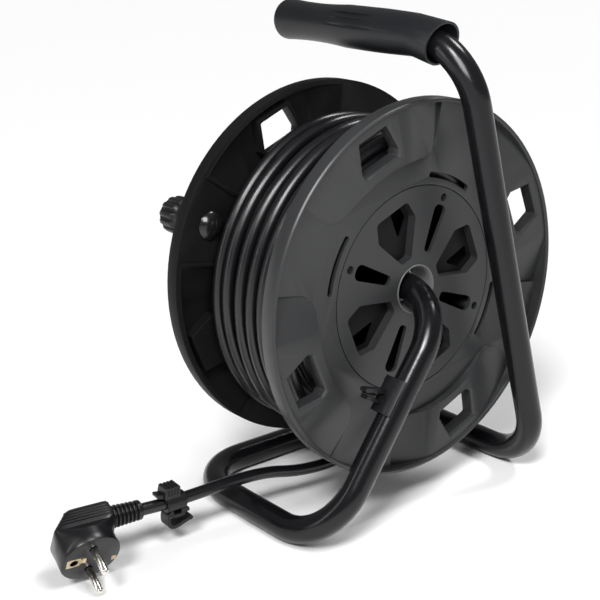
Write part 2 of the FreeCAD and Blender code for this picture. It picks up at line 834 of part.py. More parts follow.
def winding_knob():
    """Fluted knob with a narrower skirt, hollow in front for the spindle's head."""
    back = -plate_y - 1.5 - knob_gap
    skirt = back - knob_skirt_height
    bore = spindle_r + running_gap
    recess = knob_front_y + knob_cap_wall + cap_gap + spindle_head_height + end_gap
    cap_seat = knob_front_y + knob_cap_wall
    wide = spindle_head_r + 0.5
    body = revolved([(bore, back), (knob_skirt_r, back), (knob_skirt_r + 1, skirt), (knob_r, skirt - 1.5),
                     (knob_r, knob_front_y + 1.5), (knob_r - 1.5, knob_front_y), (knob_cap_r, knob_front_y),
                     (knob_cap_r, cap_seat), (wide, cap_seat), (wide, recess), (bore, recess)])
    for k in range(knob_flutes):
        turn = 2 * math.pi * k / knob_flutes
        reach = knob_r + 0.9
        body = body.cut(rod(flute_r, knob_front_y - 1, skirt - 1.5, reach * math.cos(turn), reach * math.sin(turn)))
    body.translate(V(knob_x, 0, knob_z))
    return body


def knob_cap():
    """Cap that closes the front of the knob."""
    return rod(knob_cap_r, knob_front_y, knob_front_y + knob_cap_wall, knob_x, knob_z)


def plug_body():
    """Angled two-pin plug, round at its face, with the cable leaving sideways."""
    disc = Part.makeCylinder(plug_r, plug_rim_height, V(0, 0, -plug_rim_height), V(0, 0, 1))
    disc = disc.makeFillet(1.0, [e for e in disc.Edges if abs(e.BoundBox.ZMax) < 1e-6 and e.BoundBox.ZLength < 1e-6])
    low = Part.Wire([Part.makeCircle(plug_r, V(0, 0, -plug_rim_height), V(0, 0, 1))])
    back = plug_half_width
    block = Part.makeBox(plug_nose + plug_tail, 2 * back, plug_back - plug_rim_height + 2,
                         V(-plug_nose, -back, -plug_back))
    block = block.makeFillet(5.0, [e for e in block.Edges if e.BoundBox.XLength > 5])
    shoulder = Part.makeCone(plug_r, plug_r - 7, plug_back - plug_rim_height - 8, V(0, 0, -plug_rim_height), V(0, 0, -1))
    body = disc.fuse([block, shoulder])
    for side in (-1, 1):
        root = Part.makeCylinder(pin_root_r, pin_root, V(0, side * pin_row_half, -pin_root), V(0, 0, 1))
        body = body.cut(root)
        slot = Part.makeBox(side_contact_wall + 3, side_contact_width, side_contact_height,
                            V(side * (plug_r - side_contact_wall / 2 - 0.6) - (side_contact_wall + 3) / 2 + side * 1.5,
                              -side_contact_width / 2, -side_contact_height))
        body = body.cut(slot)
    body = body.cut(Part.makeCylinder(earth_hole_r, earth_hole_depth, V(-earth_hole_offset, 0, -earth_hole_depth), V(0, 0, 1)))
    return plug_placed(body)


def plug_placed(shape):
    """Move a piece from the plug's own frame to where the plug lies."""
    return placed_along(shape, plug_face, plug_cable_way, plug_row_way)


def plug_pins():
    """Two round pins with domed tips, on thinner roots that sit in the plug's body."""
    pins = []
    for side in (-1, 1):
        shank = pin_length - pin_tip
        pin = Part.makeCylinder(pin_r, shank, V(0, side * pin_row_half, 0), V(0, 0, 1))
        root = Part.makeCylinder(pin_root_r, pin_root, V(0, side * pin_row_half, -pin_root), V(0, 0, 1))
        tip = Part.makeCone(pin_r, pin_r - pin_tip, pin_tip, V(0, side * pin_row_half, shank), V(0, 0, 1))
        pins.append(pin.fuse([root, tip]))
    return plug_placed(Part.makeCompound(pins))


def plug_boot():
    """Tapered boot with soft rings."""
    profile = [V(plug_tail, 0, 0)]
    step = (boot_end - plug_tail) / boot_rings
    fall = (boot_r - boot_tip_r) / boot_rings
    for k in range(boot_rings):
        x = plug_tail + step * k
        r = boot_r - fall * k
        profile += [V(x, r, 0), V(x + step * 0.6, r - fall * 0.5, 0),
                    V(x + step * 0.6, r - fall - 0.7, 0), V(x + step, r - fall - 0.7, 0)]
    profile.append(V(boot_end, 0, 0))
    body = face_of(profile).revolve(V(0, 0, 0), V(1, 0, 0), 360)
    body = body.cut(Part.makeCylinder(cord_r, 12, V(boot_end - 12, 0, 0), V(1, 0, 0)))
    body.translate(V(0, 0, -plug_cable_back))
    return plug_placed(body)


def plug_earth_contacts():
    """Brass side contacts of the plug."""
    strips = []
    for side in (-1, 1):
        x = side * (plug_r - side_contact_wall / 2 - 0.6)
        strips.append(Part.makeBox(side_contact_wall, side_contact_width - 1, side_contact_height,
                                   V(x - side_contact_wall / 2 - side * 0.1, -side_contact_width / 2 + 0.5, -side_contact_height)))
    return plug_placed(Part.makeCompound(strips))


def plug_frame_point(x, y, z):
    """Point of the plug's own frame, in the part's frame."""
    third = plug_cable_way.cross(plug_row_way).normalize()
    rotation = FreeCAD.Rotation(plug_cable_way, plug_row_way, third, "XYZ")
    return FreeCAD.Placement(plug_face, rotation).multVec(V(x, y, z))


def lead_cord():
    """Free stretch of cord from the winding to the boot."""
    points = list(cord_points)
    points.append(plug_frame_point(boot_end - 12, 0, -plug_cable_back))
    radii = []
    for k in range(1, len(points) - 1):
        before = points[k] - points[k - 1]
        after = points[k + 1] - points[k]
        shorter = min(before.Length, after.Length)
        radii.append(0.45 * shorter / math.tan(before.getAngle(after) / 2))
    path = tube_path(points, radii)
    body = piped(path, points[0], points[1] - points[0], cord_r)
    full = math.pi * cord_r ** 2 * path.Length
    print("cord: bend radii", [round(r) for r in radii], "mm")
    print("cord: length", round(path.Length, 1), "mm, volume over section times length", round(body.Volume / full, 4))
    return body


def cord_clip():
    """Clip on the cord: a ring round it, a ribbed pad above and an open hook below."""
    outer = cord_r + cord_clip_wall
    half = cord_clip_length / 2
    sleeve = Part.makeCylinder(outer, cord_clip_length, V(-half, 0, 0), V(1, 0, 0))
    pad = Part.makeBox(cord_clip_length, 9, 4.5, V(-half, -4.5, outer - 1))
    for k in range(3):
        pad = pad.cut(Part.makeBox(1.2, 9, 1.2, V(-half + 2.2 + 3.2 * k, -4.5, outer + 2.3)))
    hook_z = -outer - cord_clip_hook_r + 0.6
    hook = Part.makeCylinder(cord_clip_hook_r, 7, V(-3.5, 0, hook_z), V(1, 0, 0))
    hook = hook.cut(Part.makeCylinder(cord_clip_hook_r - 1.8, 9, V(-4.5, 0, hook_z), V(1, 0, 0)))
    hook = hook.cut(Part.makeBox(9, 12, 5, V(-4.5, 1.0, hook_z - 3.5)))
    body = sleeve.fuse([pad, hook]).cut(Part.makeCylinder(cord_r, cord_clip_length + 2, V(-half - 1, 0, 0), V(1, 0, 0)))
    before, after = cord_points[-2:]
    way = (after - before).normalize()
    centre = before + way * cord_clip_place
    return placed_along(body, centre, way, V(0, 0, 1).cross(way).normalize())


def lifted(shape):
    """Move a piece from the drum's frame to its place on the stand."""
    copy = shape.copy()
    copy.translate(lift)
    return copy


drum_frame_pieces = {
    "frame_tube": frame_tube,
    "handle_grip": handle_grip,
    "leg_bracket": leg_bracket,
    "axle_end_cap": axle_end_cap,
    "axle_washer": lambda: ring(tube_r, washer_r, axle_end_y, axle_end_y + washer_wall),
    "axle_stop_ring": lambda: ring(tube_r, stop_ring_r, bush_inner_y + bush_length + end_gap,
                                   bush_inner_y + bush_length + end_gap + stop_ring_wall),
    "back_flange": drum_half,
    "front_flange": front_half,
    "back_disc": back_disc,
    "disc_screws": lambda: screws(1),
    "rear_bush": rear_bush,
    "front_bush": lambda: ring(tube_r + running_gap, hub_bore_r, front_bush_y, front_bush_y + front_bush_length),
    "socket_plate": socket_plate,
    "socket_insert_1": lambda: socket_insert(0),
    "socket_insert_2": lambda: socket_insert(1),
    "socket_insert_3": lambda: socket_insert(2),
    "socket_insert_4": lambda: socket_insert(3),
    "earth_clips": earth_clips,
    "pin_contacts": pin_contacts,
    "plate_screws": lambda: screws(-1),
    "cutout_body": cutout_body,
    "cutout_nut": cutout_nut,
    "reset_button": reset_button,
    "reset_spring": reset_spring,
    "cord_core": cord_core,
    "cord_winding": cord_winding,
    "cord_clamp": cord_clamp,
    "knob_spindle": knob_spindle,
    "winding_knob": winding_knob,
    "knob_cap": knob_cap,
}
floor_frame_pieces = {
    "plug_body": plug_body,
    "plug_pins": plug_pins,
    "plug_boot": plug_boot,
    "plug_earth_contacts": plug_earth_contacts,
    "lead_cord": lead_cord,
    "cord_clip": cord_clip,
}

os.makedirs("parts", exist_ok=True)
for name, make in drum_frame_pieces.items():
    lifted(make()).exportStep("parts/" + name + ".step")
for name, make in floor_frame_pieces.items():
    make().exportStep("parts/" + name + ".step")
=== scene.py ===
import json
import math

import bmesh
import bpy
import numpy as np
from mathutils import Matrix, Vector


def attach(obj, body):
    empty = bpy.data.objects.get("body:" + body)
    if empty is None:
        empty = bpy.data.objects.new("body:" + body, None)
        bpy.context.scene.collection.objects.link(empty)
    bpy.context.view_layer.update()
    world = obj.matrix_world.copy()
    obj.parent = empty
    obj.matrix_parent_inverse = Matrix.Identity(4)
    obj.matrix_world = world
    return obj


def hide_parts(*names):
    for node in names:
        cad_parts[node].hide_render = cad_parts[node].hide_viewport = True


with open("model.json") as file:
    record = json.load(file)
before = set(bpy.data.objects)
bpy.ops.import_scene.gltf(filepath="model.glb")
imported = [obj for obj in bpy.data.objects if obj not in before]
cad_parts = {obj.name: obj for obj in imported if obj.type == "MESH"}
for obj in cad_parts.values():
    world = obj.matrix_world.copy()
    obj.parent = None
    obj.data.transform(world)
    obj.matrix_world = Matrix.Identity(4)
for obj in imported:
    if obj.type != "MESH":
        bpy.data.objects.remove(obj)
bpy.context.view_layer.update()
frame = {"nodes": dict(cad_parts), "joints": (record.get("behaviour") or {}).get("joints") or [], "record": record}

cad = frame["nodes"]
mm = 0.001

# Where things are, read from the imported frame
joints = {joint["name"]: joint for joint in frame["joints"]}
drumCentre = np.array(joints["drum_spin"]["pos_m"])
knobCentre = np.array(joints["knob_spin"]["pos_m"])


# Camera at the photograph's place

cameraLook = {
    "place": (0.5736, 0.6191, 0.4076),
    "towards": (-0.6098, -0.7284, -0.3123),
    "lens": 77.8,
    "sensor": 36.0,
    "clip": (0.05, 60.0),
}


def makeCamera(look):
    data = bpy.data.cameras.new("camera")
    data.lens = look["lens"]
    data.sensor_width = look["sensor"]
    data.clip_start, data.clip_end = look["clip"]
    camera = bpy.data.objects.new("camera", data)
    camera.location = look["place"]
    camera.rotation_mode = "QUATERNION"
    camera.rotation_quaternion = Vector(look["towards"]).to_track_quat("-Z", "Y")
    bpy.context.scene.collection.objects.link(camera)
    bpy.context.scene.camera = camera


makeCamera(cameraLook)
bpy.context.scene.view_settings.view_transform = "Standard"
print("camera set")


# Shader expressions: a wire is one output of a node, and sums and products of wires add Math nodes

class Wire:
    def __init__(self, paint, socket):
        self.paint = paint
        self.socket = socket

    def math(self, operation, other):
        return self.paint.node("ShaderNodeMath", {"operation": operation}, [self, other])

    def __add__(self, other):
        return self.math("ADD", other)

    __radd__ = __add__

    def __mul__(self, other):
        return self.math("MULTIPLY", other)

    __rmul__ = __mul__

    def out(self, name):
        return Wire(self.paint, self.socket.node.outputs[name])


class Paint:
    def __init__(self, name):
        self.material = bpy.data.materials.new(name)
        self.material.use_nodes = True
        self.tree = self.material.node_tree
        self.tree.nodes.clear()
        self.shader = self.tree.nodes.new("ShaderNodeBsdfPrincipled")
        output = self.tree.nodes.new("ShaderNodeOutputMaterial")
        self.tree.links.new(self.shader.outputs[0], output.inputs[0])

    # Adds a node of a type; settings are set first, then the values or links of its sockets
    def node(self, kind, settings=None, sockets=None):
        made = self.tree.nodes.new(kind)
        for key, value in (settings or {}).items():
            setattr(made, key, value)
        pairs = sockets.items() if isinstance(sockets, dict) else enumerate(sockets or [])
        for key, value in pairs:
            self.feed(made.inputs[key], value)
        return Wire(self, made.outputs[0])

    def feed(self, socket, value):
        if isinstance(value, Wire):
            self.tree.links.new(value.socket, socket)
        else:
            socket.default_value = value

    def set(self, **sockets):
        for key, value in sockets.items():
            self.feed(self.shader.inputs[key.replace("_", " ")], value)


# Colour from dark times the colour to light times the colour, as the share goes from 0 to 1
def shaded(paint, share, colour, dark, light):
    ends = [(*(level * part for part in colour), 1) for level in (dark, light)]
    mix = paint.node("ShaderNodeMix", {"data_type": "RGBA"}, {0: share, 6: ends[0], 7: ends[1]})
    return Wire(paint, mix.socket.node.outputs[2])


# Roughness that swings about its level, as the noise goes from 0 to 1
def uneven(noise, level, swing):
    return noise * swing + (level - swing / 2)


def raised(paint, height, strength, distance):
    return paint.node("ShaderNodeBump", {}, {"Strength": strength, "Distance": distance, "Height": height})


def noiseOf(paint, place, scale, detail):
    return paint.node("ShaderNodeTexNoise", {}, {"Vector": place, "Scale": scale, "Detail": detail})


def objectPlace(paint):
    return paint.node("ShaderNodeTexCoord").out("Object")


# Moulded plastic: fine spark grain, faint flow clouds and a slightly uneven gloss

moulded = {"grain": 2600.0, "cloud": 22.0, "shade": (0.88, 1.12), "swing": 0.12, "depth": 0.0002}


def mouldedPlastic(name, colour, rough, grain=0.05, specular=0.5):
    paint = Paint(name)
    place = objectPlace(paint)
    fine = noiseOf(paint, place, moulded["grain"], 2.0)
    broad = noiseOf(paint, place, moulded["cloud"], 3.0)
    paint.set(Base_Color=shaded(paint, broad, colour, *moulded["shade"]),
              Roughness=uneven(broad, rough, moulded["swing"]),
              Normal=raised(paint, fine, grain, moulded["depth"]), Specular_IOR_Level=specular)
    return paint.material


# Gloss paint on the tube: faint orange peel under an even shine

coated = {"peel": 420.0, "cloud": 18.0, "shade": (0.85, 1.2), "swing": 0.06, "bump": 0.06, "depth": 0.0004}


def glossPaint(name, colour, rough, specular):
    paint = Paint(name)
    place = objectPlace(paint)
    peel = noiseOf(paint, place, coated["peel"], 2.0)
    broad = noiseOf(paint, place, coated["cloud"], 2.0)
    paint.set(Base_Color=shaded(paint, broad, colour, *coated["shade"]),
              Roughness=uneven(peel, rough, coated["swing"]),
              Normal=raised(paint, peel, coated["bump"], coated["depth"]), Specular_IOR_Level=specular)
    return paint.material


# Extruded sheath: a fine grain, faint clouds and a soft gloss

sheathed = {"grain": 1500.0, "cloud": 35.0, "shade": (0.8, 1.25), "swing": 0.14, "bump": 0.08, "depth": 0.0002}


def cordSheath(name, colour, rough):
    paint = Paint(name)
    place = objectPlace(paint)
    broad = noiseOf(paint, place, sheathed["cloud"], 3.0)
    fine = noiseOf(paint, place, sheathed["grain"], 2.0)
    paint.set(Base_Color=shaded(paint, broad, colour, *sheathed["shade"]),
              Roughness=uneven(broad, rough, sheathed["swing"]),
              Normal=raised(paint, fine, sheathed["bump"], sheathed["depth"]))
    return paint.material


# Bare metal with faint smears

bare = {"smear": 160.0, "shade": (0.86, 1.0), "swing": 0.12}


def plainMetal(name, colour, rough):
    paint = Paint(name)
    smear = noiseOf(paint, objectPlace(paint), bare["smear"], 3.0)
    paint.set(Base_Color=shaded(paint, smear, colour, *bare["shade"]), Metallic=1.0,
              Roughness=uneven(smear, rough, bare["swing"]))
    return paint.material


finish = {
    "frame_paint": glossPaint("gloss_black_tube", (0.004, 0.004, 0.005), 0.22, 0.32),
    "grip_rubber": mouldedPlastic("soft_grip", (0.007, 0.0075, 0.009), 0.36, 0.16, specular=0.36),
    "dark_plastic": mouldedPlastic("dark_moulding", (0.005, 0.005, 0.006), 0.34, specular=0.35),
    "drum_plastic": mouldedPlastic("drum_moulding", (0.021, 0.0215, 0.0225), 0.38, specular=0.4),
    "bush_plastic": mouldedPlastic("bush_moulding", (0.09, 0.092, 0.09), 0.36),
    "socket_plastic": mouldedPlastic("socket_moulding", (0.02, 0.02, 0.022), 0.4),
    "knob_plastic": mouldedPlastic("knob_moulding", (0.007, 0.007, 0.008), 0.4, specular=0.4),
    "button_plastic": mouldedPlastic("button_moulding", (0.3, 0.014, 0.012), 0.3),
    "plug_plastic": mouldedPlastic("plug_moulding", (0.005, 0.005, 0.006), 0.3, specular=0.4),
    "cord_sheath": cordSheath("cord_sheath", (0.005, 0.005, 0.006), 0.3),
    "nickel": plainMetal("nickel", (0.72, 0.69, 0.64), 0.2),
    "brass": plainMetal("brass", (0.62, 0.52, 0.34), 0.3),
    "steel": plainMetal("zinc_steel", (0.5, 0.5, 0.51), 0.35),
}
# Painted shade: a darker copy of the drum moulding, put on the front flange, the disc's sunk faces, the sunk
# screws and the closed panel
paintedShadeMoulding = mouldedPlastic("painted_shade_moulding", (0.0045, 0.0045, 0.005), 0.5, specular=0.16)
special = {
    "front_flange": paintedShadeMoulding,
    "knob_spindle": mouldedPlastic("polished_moulding", (0.006, 0.006, 0.006), 0.16, 0.01),
}
slotOf = {row["node"]: row["material_slot"] for row in frame["record"]["subparts"]}
print("finishes made")


# Pieces of the frame keep their shape and get rounded edges and a finish

softEdges = {
    "back_flange": 0.35, "front_flange": 0.35, "socket_plate": 0.3,
    "knob_cap": 0.3, "knob_spindle": 0.3, "plug_pins": 0.8, "reset_button": 0.4, "cutout_nut": 0.3,
    "plate_screws": 0.15, "axle_end_cap": 0.4, "handle_grip": 0.3,
    "socket_insert_1": 0.3, "socket_insert_2": 0.3, "socket_insert_3": 0.3, "socket_insert_4": 0.3,
}
dressing = {"weld": 0.00001, "flatWithin": 1.0, "edgeFrom": 32.0}


def softenEdges(piece, width, segments=2):
    bevel = piece.modifiers.new("edges", "BEVEL")
    bevel.width = width * mm
    bevel.segments = segments
    bevel.limit_method = "ANGLE"
    bevel.angle_limit = math.radians(dressing["edgeFrom"])
    bevel.harden_normals = True
    bevel.use_clamp_overlap = True


def dressNode(name):
    node = cad[name]
    node.data.materials.clear()
    node.data.materials.append(special.get(name, finish[slotOf[name]]))
    node.data.polygons.foreach_set("use_smooth", np.ones(len(node.data.polygons), bool))
    weld = node.modifiers.new("weld", "WELD")
    weld.merge_threshold = dressing["weld"]
    flat = node.modifiers.new("flat", "DECIMATE")
    flat.decimate_type = "DISSOLVE"
    flat.angle_limit = math.radians(dressing["flatWithin"])
    flat.delimit = {"SHARP"}
    if name in softEdges:
        softenEdges(node, softEdges[name])


for nodeName in cad:
    dressNode(nodeName)
print("nodes dressed")


# Shapes for new pieces: each is a pair of points and faces, in millimetres

# Faces of a row of rings with the same number of points; a flat face closes each end
def ringFaces(rings, sides):
    ring = np.arange(rings - 1)[:, None] * sides
    side = np.arange(sides)[None, :]
    after = (side + 1) % sides
    quads = np.stack([ring + side, ring + after, ring + sides + after, ring + sides + side], axis=-1)
    faces = quads.reshape(-1, 4).tolist()
    faces.append(list(range(sides))[::-1])
    faces.append([(rings - 1) * sides + k for k in range(sides)])
    return faces


# Two directions square to a line, which turn as little as they can along it
def framesAlong(line):
    tangent = np.gradient(line, axis=0)
    tangent /= np.linalg.norm(tangent, axis=1)[:, None]
    start = np.cross(tangent[0], (0.0, 0.0, 1.0))
    side = np.zeros_like(line)
    side[0] = start / np.linalg.norm(start)
    for k in range(1, len(line)):
        turned = side[k - 1] - tangent[k] * np.dot(side[k - 1], tangent[k])
        side[k] = turned / np.linalg.norm(turned)
    return side, np.cross(tangent, side)


# A round profile carried along a line: point = line + r (cos a side + sin a up)
def tubeMesh(line, radius, sides):
    side, up = framesAlong(line)
    angle = np.linspace(0, 2 * math.pi, sides, endpoint=False)
    spread = np.cos(angle)[None, :, None] * side[:, None, :] + np.sin(angle)[None, :, None] * up[:, None, :]
    return (line[:, None, :] + radius * spread).reshape(-1, 3), ringFaces(len(line), sides)


# A closed profile of (radius, height) turned round Y: point = (r cos a, h, r sin a)
# hollow gives what is taken off the radius at each place and angle
def turnedMesh(profile, sides=96, hollow=None):
    profile = np.array(profile)
    angle = np.linspace(0, 2 * math.pi, sides, endpoint=False)
    radius = np.repeat(profile[:, :1], sides, axis=1)
    if hollow is not None:
        radius = radius - hollow(profile[:, :1], angle[None, :])
    height = np.repeat(profile[:, 1:], sides, axis=1)
    points = np.stack([radius * np.cos(angle), height, radius * np.sin(angle)], axis=-1).reshape(-1, 3)
    ring = np.arange(len(profile))[:, None] * sides
    after = np.roll(np.arange(len(profile)), -1)[:, None] * sides
    side = np.arange(sides)[None, :]
    following = (side + 1) % sides
    faces = np.stack([ring + side, ring + following, after + following, after + side], axis=-1)
    return points, faces.reshape(-1, 4).tolist()


# Corners rounded by arcs: an arc leaves each side a little way before the corner and joins the next
def roundedOutline(corners, radii, steps=6):
    corners = np.array(corners, dtype=float)
    radii = np.broadcast_to(radii, (len(corners),))
    result = []
    for k in range(len(corners)):
        radius = float(radii[k])
        toBefore = corners[k - 1] - corners[k]
        toAfter = corners[(k + 1) % len(corners)] - corners[k]
        toBefore /= np.linalg.norm(toBefore)
        toAfter /= np.linalg.norm(toAfter)
        half = math.acos(float(np.clip(toBefore @ toAfter, -1, 1))) / 2
        middle = (toBefore + toAfter) / np.linalg.norm(toBefore + toAfter) * radius / math.sin(half)
        back = radius / math.tan(half)
        share = np.linspace(0, 1, steps)[:, None]
        spoke = (toBefore * back - middle) * (1 - share) + (toAfter * back - middle) * share
        spoke *= radius / np.linalg.norm(spoke, axis=1)[:, None]
        result.append(corners[k] + middle + spoke)
    return np.concatenate(result)


def diskOutline(x, y, radius, count=32):
    angle = np.linspace(0, 2 * math.pi, count, endpoint=False)
    return np.stack([x + radius * np.cos(angle), y + radius * np.sin(angle)], axis=-1)


# An outline that is the same on both sides of its first direction, from its upper half
def bothSides(half):
    return np.array(half + [(u, -v) for u, v in reversed(half)])


# An outline widened by moving each point away from a middle point
def widened(outline, middle, extra):
    away = outline - np.array(middle)
    return outline + away / np.linalg.norm(away, axis=1)[:, None] * extra


# A flat outline carried straight between two heights and closed at both ends
# axes says which directions the outline's two and the height go along
def prismMesh(outline, low, high, axes=(0, 2, 1)):
    outline = np.array(outline)
    count = len(outline)
    points = np.zeros((2 * count, 3))
    points[:, axes[0]] = np.tile(outline[:, 0], 2)
    points[:, axes[1]] = np.tile(outline[:, 1], 2)
    points[:, axes[2]] = np.repeat([low, high], count)
    faces = [[k, (k + 1) % count, count + (k + 1) % count, count + k] for k in range(count)]
    faces.append(list(range(count))[::-1])
    faces.append(list(range(count, 2 * count)))
    return points, faces


# A strip of even thickness along corners that are smoothed by averaging neighbours
def stripMesh(corners, wall, width, count=41, passes=6):
    corners = np.array(corners)
    at = np.linspace(0, 1, len(corners))
    fine = np.linspace(0, 1, count)
    line = np.stack([np.interp(fine, at, corners[:, k]) for k in (0, 1)], axis=-1)
    for k in range(passes):
        line[1:-1] = (line[:-2] + 2 * line[1:-1] + line[2:]) / 4
    way = np.gradient(line, axis=0)
    way /= np.linalg.norm(way, axis=1)[:, None]
    side = np.stack([-way[:, 1], way[:, 0]], axis=-1) * wall / 2
    return prismMesh(np.concatenate([line + side, (line - side)[::-1]]), -width, width)


def joined(pieces):
    points, faces, shift = [], [], 0
    for piecePoints, pieceFaces in pieces:
        points.append(piecePoints)
        faces += [[index + shift for index in face] for face in pieceFaces]
        shift += len(piecePoints)
    return np.concatenate(points), faces


def aboutDrum(piece, degrees):
    turn = math.radians(degrees)
    matrix = np.array([[math.cos(turn), 0, math.sin(turn)], [0, 1, 0], [-math.sin(turn), 0, math.cos(turn)]])
    return piece[0] @ matrix.T, piece[1]


# Three square directions from a main one and a second one that is near enough to square
def squareWays(main, second):
    x = np.array(main) / np.linalg.norm(main)
    z = np.cross(x, second)
    z /= np.linalg.norm(z)
    return np.array([x, np.cross(z, x), z])


def facesOutward(mesh):
    tidy = bmesh.new()
    tidy.from_mesh(mesh)
    bmesh.ops.recalc_face_normals(tidy, faces=tidy.faces)
    tidy.to_mesh(mesh)
    tidy.free()


def placedMesh(name, points, faces):
    mesh = bpy.data.meshes.new(name)
    mesh.from_pydata((points * mm).tolist(), [], faces)
    mesh.update()
    facesOutward(mesh)
    made = bpy.data.objects.new(name, mesh)
    bpy.context.scene.collection.objects.link(made)
    return made


# Solid sums and differences: steps are ("UNION" or "DIFFERENCE", piece) pairs worked on a first piece
def carved(first, steps):
    base = placedMesh("scratch", *first)
    tools = [placedMesh("scratch", *piece) for _, piece in steps]
    for (operation, _), tool in zip(steps, tools):
        change = base.modifiers.new("change", "BOOLEAN")
        change.operation = operation
        change.solver = "EXACT"
        change.object = tool
    result = bpy.data.meshes.new_from_object(base.evaluated_get(bpy.context.evaluated_depsgraph_get()))
    points = np.array([v.co for v in result.vertices]) / mm
    faces = [list(polygon.vertices) for polygon in result.polygons]
    for scratch in [base] + tools:
        bpy.data.objects.remove(scratch)
    bpy.data.meshes.remove(result)
    return points, faces


# A finished piece: its place, its finish, its softened edges and the CAD node it stands for
def newPiece(name, piece, slot, body, nodes=(), edge=0, segments=2, origin=(0.0, 0.0, 0.0), ways=None,
             material=None):
    points = piece[0] if ways is None else piece[0] @ ways
    made = placedMesh(name, points + np.array(origin), piece[1])
    made.data.polygons.foreach_set("use_smooth", np.ones(len(made.data.polygons), bool))
    made.data.materials.append(material or finish[slot])
    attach(made, body)
    if edge:
        softenEdges(made, edge, segments)
    if nodes:
        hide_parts(*nodes)
    return made


drumMiddle = 3.3  # along the axle, in millimetres
drumPlace = drumCentre / mm * np.array([1, 0, 1]) + np.array([0, drumMiddle, 0])
past = 1.0  # a cutter goes this far past the face it opens
lap = 0.5  # and a joined wall this far into its neighbour


# Cord wound on the drum: a tube round the drum's axis whose radius follows the sag seen on its lower left

wound = {
    "cordRadius": 4.0,
    "firstAngle": 335.0,
    "turns": 6.9,
    "sag": [(-60, 104), (-30, 101), (0, 100), (30, 101), (73, 102), (90, 100), (108, 99.5), (118, 98), (127, 95.5),
            (141, 96), (162, 96.2), (180, 97.2), (192, 99), (205, 101), (217, 103.4), (228, 106), (238, 108),
            (262, 107), (285, 105)],  # angle, radius
    "strandPlaces": [-37.0, -36.2, -25.5, -12.5, -0.5, 12.0, 24.0, 35.2, 38.5],
    "strandAt": [-0.5, 0.431, 1.431, 2.431, 3.431, 4.431, 5.431, 6.431, 7.2],
    "farthest": 39.8,
    "rise": [(0.5, 9.1, 0.0), (0.35, 23.0, 0.0)],  # size, speed, start
    "sway": [(0.7, 5.3, 0.7), (0.35, 14.7, 0.0)],
    "blend": 9,
    "sides": 18,
    "ringsPerTurn": 110,
}


def waves(turn, rows):
    return sum(size * np.sin(turn * speed + start) for size, speed, start in rows)


def makeWinding(look):
    turn = np.linspace(0, look["turns"], int(look["turns"] * look["ringsPerTurn"]))
    angle = look["firstAngle"] - 360 * turn
    weights = np.hanning(2 * look["blend"] + 3)[1:-1]
    places, radii = np.array(look["sag"]).T
    radius = np.pad(np.interp(angle, places, radii, period=360), look["blend"], mode="edge")
    radius = np.convolve(radius, weights / weights.sum(), mode="valid") + waves(turn, look["rise"])
    y = np.interp(turn, look["strandAt"], look["strandPlaces"]) + waves(turn, look["sway"])
    y = np.clip(y, -look["farthest"], look["farthest"])
    a = np.radians(angle)
    line = np.stack([-radius * np.cos(a), y, radius * np.sin(a)], axis=-1)
    newPiece("wound_cord", tubeMesh(line, look["cordRadius"], look["sides"]), "cord_sheath", "drum",
             ("cord_winding",), origin=drumPlace)


makeWinding(wound)


# Lower layers: a ring whose outside is a row of strands, radius = middle + the strand's own roundness

lowerLayers = {
    "middle": 88.8, "pitch": 8.2, "halfWidth": 41.0, "inner": 66.2, "roundness": 4.05,
    "valley": 0.2, "rows": 171, "sides": 128,
}


def makeLowerLayers(look):
    y = np.linspace(-look["halfWidth"], look["halfWidth"], look["rows"])
    apart = (y / look["pitch"] + 0.5) % 1 * look["pitch"] - look["pitch"] / 2
    radius = look["middle"] + np.sqrt(np.maximum(look["roundness"] ** 2 - apart ** 2, look["valley"]))
    profile = [(look["inner"], -look["halfWidth"]), *zip(radius, y), (look["inner"], look["halfWidth"])]
    newPiece("lower_cord_layers", turnedMesh(profile, look["sides"]), "cord_sheath", "drum", ("cord_core",),
             origin=drumPlace)


makeLowerLayers(lowerLayers)
print("cord wound")


# Disc on the back flange: sunk vents with a smaller opening in each, open rays and holes over the screws

backDisc = {
    "radius": 68.1, "face": 47.5, "wall": 2.5, "bore": 15.5, "hubRadius": 18.0, "hubEnd": -15.0,
    "sides": 144, "holeSides": 20,
    "vent": [(21.5, 4.4), (45.5, 17.3), (58.5, 14.2)], "ventCorners": [3.0, 3.6, 3.4, 3.4, 3.6, 3.0],
    "ventMiddle": (-44, 0),
    "pocket": [(34.5, -3.4), (55.6, -3.0), (55.6, -11.8), (45.6, -14.2)], "pocketCorner": 1.4,
    "ray": [(25.0, 3.2), (57.0, 5.7)], "rayCorners": [2.8, 4.3, 4.3, 2.8],
    "panWall": 1.4, "panDepth": 6.5, "shadedBelow": 2.0,
    "screwRing": 62.0, "screwHole": 2.7,
    "screwHead": [(0.05, 0.5), (0.9, 0.5), (1.3, 1.1), (1.9, 1.15), (2.4, 0.6), (2.4, 0.0), (0.05, 0.0)],
    "panels": [22.5, 112.5, 202.5, 292.5], "rays": [67.5, 157.5, 247.5, 337.5],
}


def discBody(look):
    face, under = look["face"], look["face"] - look["wall"]
    hub, bore, rim, end = look["hubRadius"], look["bore"], look["radius"], look["hubEnd"]
    profile = [(bore, end), (hub, end), (hub, under), (rim, under), (rim, face), (bore, face)]
    return turnedMesh(profile, look["sides"])


